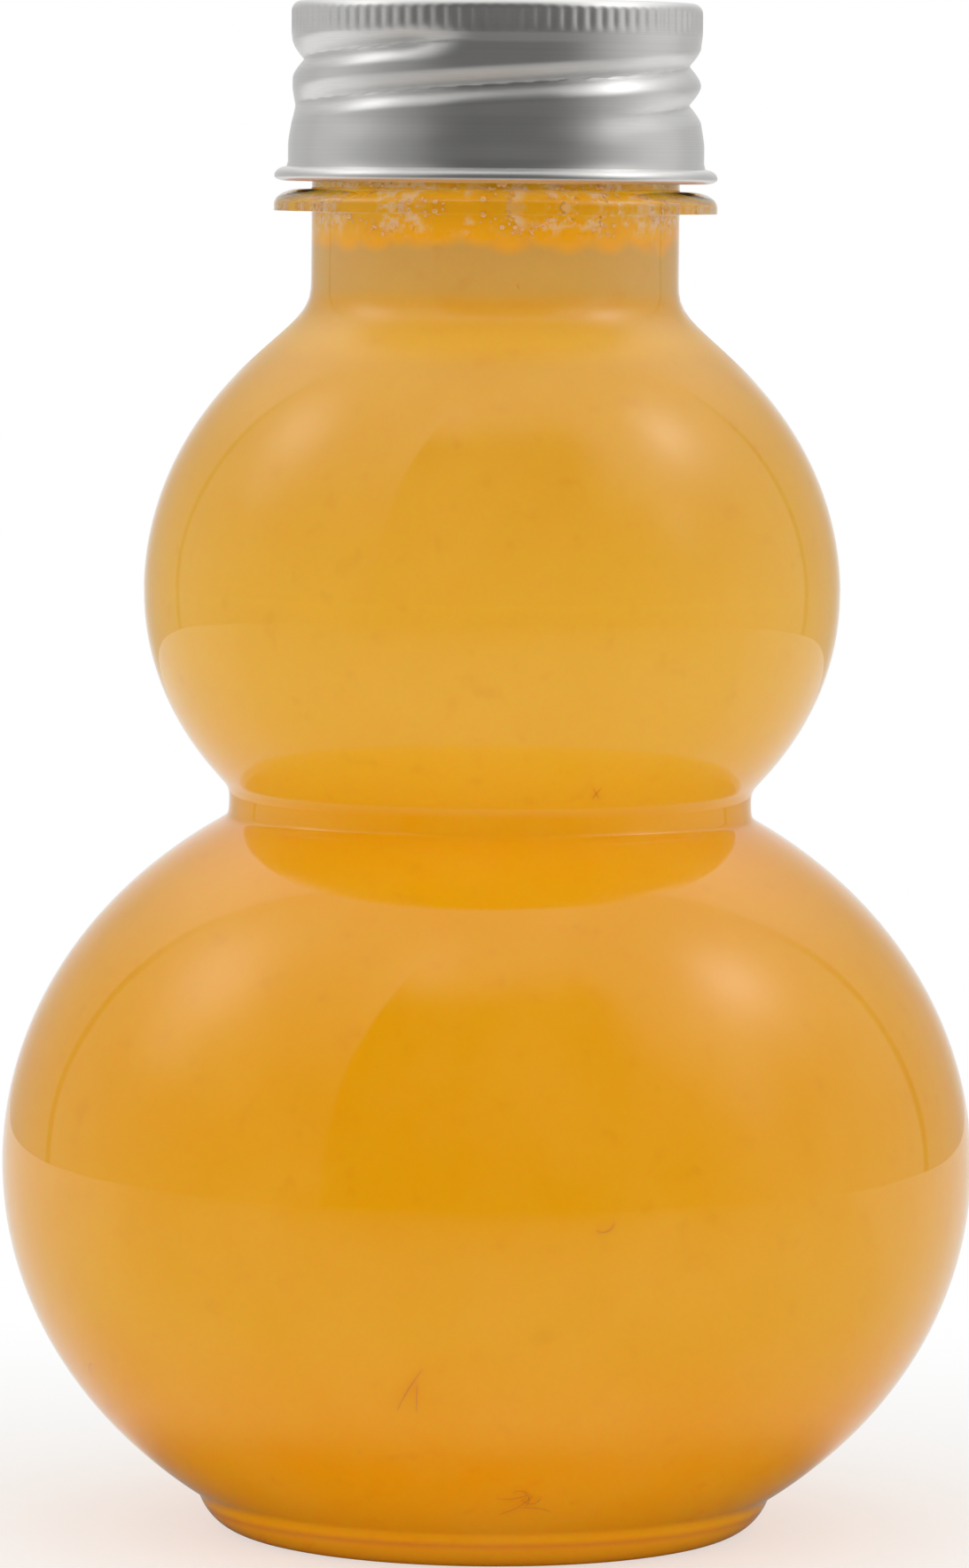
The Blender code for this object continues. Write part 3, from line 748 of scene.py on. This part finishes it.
def make_froth():
    """Bubbles of the froth: flattened ones against the neck's wall, and domes that float on the drink."""
    draw = random.Random(FROTH_SEED)
    shape, shape_faces = bubble_shape()
    wall = NECK_RADIUS - NECK_WALL + DRINK_OVERLAP
    level = DRINK_HIGH.z
    up = Vector((0, 0, 1))
    points, faces, painted_rim_lights = [], [], []

    def add(centre, axes, sizes):
        start = len(points)
        placed = Vector(centre)
        for point in shape:
            points.append(placed + sum((axes[k] * (point[k] * sizes[k]) for k in range(3)), Vector()))
            # painted rim light: 0 where the skin faces along the bubble's first axis, 1 where it turns
            # edge-on to it
            painted_rim_lights.append(math.sqrt(max(1 - point[0] ** 2, 0.0)))
        faces.extend([start + k for k in face] for face in shape_faces)

    for _ in range(FROTH_CLUSTERS):
        middle = draw.uniform(0, math.tau)
        middle_height = level - (level - CLUSTER_BOTTOM) * draw.random()
        for _ in range(CLUSTER_BUBBLES):
            turn = middle + draw.gauss(0, CLUSTER_STRETCH * CLUSTER_SPREAD) / wall
            radius = draw.choice(CLUSTER_RADII) * draw.uniform(*BUBBLE_VARIATION)
            height = middle_height + draw.gauss(0, CLUSTER_SQUASH * CLUSTER_SPREAD)
            height = min(max(height, FROTH_BOTTOM), level - radius)
            out = Vector((math.cos(turn), math.sin(turn), 0))
            depth = radius * BUBBLE_FLATNESS
            centre = out * (wall + BUBBLE_PROUD - depth) + up * height
            add(centre, (out, out.cross(up), up), (depth, radius, radius))
    for _ in range(TOP_BUBBLES):
        turn = draw.uniform(0, math.tau)
        radius = draw.choice(TOP_RADII) * draw.uniform(*BUBBLE_VARIATION)
        out = Vector((math.cos(turn), math.sin(turn), 0))
        away = (wall - radius - DRINK_OVERLAP * 2) * draw.random() ** TOP_CROWDING
        centre = out * away + up * (level - radius * DOME_SINK)
        add(centre, (up, out, out.cross(up)), (radius * DOME_FLATNESS, radius, radius))
    froth = mesh_object("froth", [tuple(p) for p in points], faces)
    layer = froth.data.attributes.new("painted_rim_light", "FLOAT", "POINT")
    layer.data.foreach_set("value", painted_rim_lights)
    give(froth, "container", "drink", froth_bubble())


def on_drink(azimuth, height, proud):
    """A point just outside the drink's surface. The azimuth is from the front, to the right, in degrees."""
    turn = math.radians(azimuth)
    slope = body_slope(height)
    length = math.hypot(1.0, slope)
    radius = body_radius(height) - (wall_at(height) - DRINK_OVERLAP - proud) / length
    return Vector((radius * math.sin(turn), -radius * math.cos(turn), height))


def fibre_points(azimuth, height, lean, length, bend):
    """A thread of fruit along the drink's surface from a start, leaning from upright, with a bend in it."""
    points = []
    for k in range(FIBRE_STEPS + 1):
        angle = math.radians(lean + bend * k / FIBRE_STEPS)
        step = length / FIBRE_STEPS
        across = math.degrees(math.sin(angle) * step / body_radius(height))
        points.append(on_drink(azimuth, height, FIBRE_RADIUS * FIBRE_PROUD))
        azimuth += across
        height -= math.cos(angle) * step
    return points


def make_fibres():
    """Threads of fruit in the drink, against the wall: the seen ones, and a few at the sides and back."""
    draw = random.Random(FIBRE_SEED)
    routes = [fibre_points(*fibre) for fibre in SEEN_FIBRES]
    for _ in range(HIDDEN_FIBRES):
        routes.append(fibre_points(*(draw.uniform(low, high) for low, high in HIDDEN_FIBRE_RANGES)))
    curve = bpy.data.curves.new("fibres", "CURVE")
    curve.dimensions = "3D"
    curve.bevel_depth = FIBRE_RADIUS
    curve.bevel_resolution = 1
    curve.use_fill_caps = True
    for route in routes:
        spline = curve.splines.new("POLY")
        spline.points.add(len(route) - 1)
        for k, (place, point) in enumerate(zip(route, spline.points)):
            point.co = (*place, 1.0)
            point.radius = FIBRE_TIP + (1 - FIBRE_TIP) * math.sin(math.pi * (k + 0.5) / len(route))
    holder = scene_object("fibre_curve", curve)
    mesh = bpy.data.meshes.new_from_object(holder.evaluated_get(bpy.context.evaluated_depsgraph_get()))
    bpy.data.objects.remove(holder)
    work = bmesh.new()
    work.from_mesh(mesh)
    bmesh.ops.remove_doubles(work, verts=work.verts, dist=FIBRE_MERGE)
    work.to_mesh(mesh)
    work.free()
    mesh.shade_smooth()
    mesh.materials.clear()
    give(scene_object("fruit_fibres", mesh), "container", "drink", fruit_fibre())


def make_bottle():
    inside = body_inside(0.0)
    bore_top = (NECK_RADIUS - NECK_WALL, LIP - LIP_EDGE_RADIUS)
    profile = inside[::-1] + line(inside[0], bore_top, BORE_STEP)[1:] + neck_outside() + body_outside()
    bottle = turned("bottle_shell", profile, BODY_COLUMNS, neck_thread)
    give(bottle, "container", "clear_plastic", clear_plastic(), "bottle")


def make_drink():
    wet = body_inside(-DRINK_OVERLAP)
    level = DRINK_HIGH.z
    edge = (wet[0][0], level)
    profile = [(0.0, level)] + line((DRINK_TOP_STEP, level), edge, DRINK_TOP_STEP)
    profile += line(edge, wet[0], BORE_STEP) + wet
    drink = turned("amber_drink", profile, BODY_COLUMNS)
    give(drink, "container", "drink", amber_drink(), "drink")


def make_cap():
    cap = turned("screw_cap", cap_outside() + cap_inside(), CAP_COLUMNS, cap_relief)
    give(cap, "cap", "cap_metal", satin_aluminium(), "cap_shell")
    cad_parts["cap_liner"].material_slots[0].material = foam_wad()


# Camera, as the photograph was taken
EYE = Vector((-0.00055, -0.797, 0.1311))
PITCH_DOWN = math.radians(4.27)
ROLL = math.radians(0.53)
IMAGE_HEIGHT = 1769
FOCAL_PIXELS = 9431
SENSOR = 36.0


def make_camera():
    data = bpy.data.cameras.new("camera")
    data.sensor_width = SENSOR
    data.lens = SENSOR * FOCAL_PIXELS / IMAGE_HEIGHT
    camera = scene_object("camera", data)
    aim = Matrix.Rotation(math.pi / 2 - PITCH_DOWN, 4, "X") @ Matrix.Rotation(ROLL, 4, "Z")
    camera.matrix_world = Matrix.Translation(EYE) @ aim
    bpy.context.scene.camera = camera


# Stage. Each span is two distances in metres, and the value at each of them
FLOOR_RADIUS = 0.55
FLOOR_SIDES = 96
# The floor's own tone is paler near the foot: painted light that lifts the bottle's shadow there and the
# light thrown up onto the foot.
FLOOR_TONE_WITH_PAINTED_LIGHT = (0.06, 0.25, 0.97, 0.86)
FLOOR_WHITE = (0.05, 0.16, 0.55, 1.0)

# The floor as gloss and metal show it: a painted shadow round the foot and painted shade that darkens it
# toward the front, and darker again toward its front edge. The foot's span is measured from the axis, the
# others along +Y
MIRRORED_FOOT_SHADOW = (0.034, 0.046, 0.05, 1.0)
MIRRORED_FRONT_SHADE = (-0.35, 0.2, 0.3, 0.86)
MIRRORED_EDGE = (-0.6, -0.2, 0.15, 1.0)
MIRRORED_WHITE = (-0.02, 0.03, 0.0, 0.42)


def make_floor():
    work = bmesh.new()
    bmesh.ops.create_circle(work, cap_ends=True, segments=FLOOR_SIDES, radius=FLOOR_RADIUS)
    mesh = bpy.data.meshes.new("floor")
    work.to_mesh(mesh)
    work.free()
    floor = scene_object("floor", mesh)
    material, tree, output = new_material("floor")
    place = own_place(tree)
    away = add_node(tree, "ShaderNodeVectorMath", {0: place}, operation="LENGTH").outputs["Value"]
    depth = split(tree, place)["Y"]
    rays = add_node(tree, "ShaderNodeLightPath").outputs
    # Painted shade that only reflections see: a painted shadow round the foot, and the floor painted darker
    # toward the front.
    shade = product(tree, remap(tree, depth, *MIRRORED_FRONT_SHADE), remap(tree, away, *MIRRORED_FOOT_SHADOW))
    shade = product(tree, shade, remap(tree, depth, *MIRRORED_EDGE))
    tone = blend_values(tree, rays["Is Glossy Ray"], remap(tree, away, *FLOOR_TONE_WITH_PAINTED_LIGHT), shade)
    plain = add_node(tree, "ShaderNodeBsdfDiffuse", {"Color": tone})
    white = add_node(tree, "ShaderNodeEmission", {"Color": (1.0, 1.0, 1.0, 1.0), "Strength": 1.0})
    looked_at = maths(tree, "MAXIMUM", rays["Is Camera Ray"], rays["Is Transmission Ray"])
    mirrored = product(tree, rays["Is Glossy Ray"], remap(tree, depth, *MIRRORED_WHITE))
    seen = maths(tree, "MAXIMUM", product(tree, remap(tree, away, *FLOOR_WHITE), looked_at), mirrored)
    mix = add_node(tree, "ShaderNodeMixShader", {0: seen, 1: plain.outputs[0], 2: white.outputs[0]})
    tree.links.new(mix.outputs[0], output.inputs["Surface"])
    mesh.materials.append(material)


# Studio that gloss and metal show. Each span is two angles in degrees, and the values there if not 0 and 1
CEILING_LIGHT = 0.85
CEILING_RISE = (60, 84)
LEFT_EDGE = (-40, -38.5)
LEFT_WALL = (-115, -39, 0.52, 0.14)
RIGHT_WALL = (34, 104, 0.02, 0.6)
DARK_END = (36, 60, 1.0, 0.0)
SIDE_RISE = (15, 75)
FRONT_RISE = (56, 80)
BACK_EDGE = (126, 129)
BACK_WALL = (150, 178, 0.5, 0.9)
BACK_RISE = (15, 50)
BACK_TOP_LIGHT = 1.25
GAP_AZIMUTH = 127
GAP_WIDTH = (0.5, 2.2, 0.55, 0.0)
GAP_RISE = (20, 50, 1.0, 0.0)

# Lamps of the studio: azimuth and elevation, their reach in both, and strength
STUDIO_LAMPS = (
    ((-101, 43), (18, 11), 1.38),
    ((-96, 27), (12, 6), 0.35),
    ((90, 44), (31, 13), 0.9),
    ((94, 48), (13, 8), 1.5),
    ((70, 24), (9, 10), 0.45),
    ((-31, 72), (14, 9), 0.6),
)

# Soft light on everything, by how far its direction points back along +Y
SOFT_LIGHT = (-1.0, 1.0, 1.07, 0.74)


def glow(tree, azimuth, elevation, centre, reach, strength):
    """A soft round light in the studio. Azimuth is from the front, to the right; angles are in degrees."""
    squares = []
    for angle, middle, width in ((azimuth, centre[0], reach[0]), (elevation, centre[1], reach[1])):
        off = maths(tree, "DIVIDE", maths(tree, "SUBTRACT", angle, math.radians(middle)), math.radians(width))
        squares.append(product(tree, off, off))
    spread = maths(tree, "ADD", *squares)
    falloff = maths(tree, "EXPONENT", product(tree, spread, -1.0))
    return product(tree, falloff, strength)


def angle_step(tree, angle, low, high, to_low=0.0, to_high=1.0):
    return remap(tree, angle, math.radians(low), math.radians(high), to_low, to_high)


def studio_light(tree):
    """A dark camera side, pale side walls with soft lamps, darker gaps behind them, pale back and ceiling."""
    direction = split(tree, add_node(tree, "ShaderNodeTexCoord").outputs["Generated"])
    elevation = maths(tree, "ARCSINE", direction["Z"])
    azimuth = maths(tree, "ARCTAN2", direction["X"], product(tree, direction["Y"], -1.0))
    sideways = maths(tree, "ABSOLUTE", azimuth)
    left_edge = angle_step(tree, azimuth, *LEFT_EDGE)
    left_wall = angle_step(tree, azimuth, *LEFT_WALL)
    walls = blend_values(tree, left_edge, left_wall, angle_step(tree, azimuth, *RIGHT_WALL))
    dark = product(tree, left_edge, angle_step(tree, azimuth, *DARK_END))
    side_rise = angle_step(tree, elevation, *SIDE_RISE)
    rise = blend_values(tree, dark, side_rise, angle_step(tree, elevation, *FRONT_RISE))
    light = blend_values(tree, rise, walls, CEILING_LIGHT)
    for lamp in STUDIO_LAMPS:
        light = maths(tree, "ADD", light, glow(tree, azimuth, elevation, *lamp))
    back = angle_step(tree, sideways, *BACK_WALL)
    back = blend_values(tree, angle_step(tree, elevation, *BACK_RISE), back, BACK_TOP_LIGHT)
    light = blend_values(tree, angle_step(tree, sideways, *BACK_EDGE), light, back)
    off_gap = maths(tree, "ABSOLUTE", maths(tree, "SUBTRACT", sideways, math.radians(GAP_AZIMUTH)))
    gap = product(tree, angle_step(tree, off_gap, *GAP_WIDTH), angle_step(tree, elevation, *GAP_RISE))
    light = product(tree, light, maths(tree, "SUBTRACT", 1.0, gap))
    return blend_values(tree, angle_step(tree, elevation, *CEILING_RISE), light, CEILING_LIGHT)


def make_world():
    world = bpy.data.worlds.new("world")
    bpy.context.scene.world = world
    world.use_nodes = True
    tree = world.node_tree
    tree.nodes.clear()
    output = add_node(tree, "ShaderNodeOutputWorld")
    rays = add_node(tree, "ShaderNodeLightPath").outputs
    depth = split(tree, add_node(tree, "ShaderNodeTexCoord").outputs["Generated"])["Y"]
    soft_light = remap(tree, depth, *SOFT_LIGHT)
    light = blend_values(tree, rays["Is Glossy Ray"], soft_light, studio_light(tree))
    seen = maths(tree, "MAXIMUM", rays["Is Camera Ray"], rays["Is Transmission Ray"])
    strength = blend_values(tree, seen, light, 1.0)
    background = add_node(tree, "ShaderNodeBackground", {"Color": (1.0, 1.0, 1.0, 1.0), "Strength": strength})
    tree.links.new(background.outputs[0], output.inputs["Surface"])


bpy.context.scene.view_settings.view_transform = "Standard"
make_bottle()
make_drink()
make_froth()
make_fibres()
make_cap()
make_camera()
make_floor()
make_world()
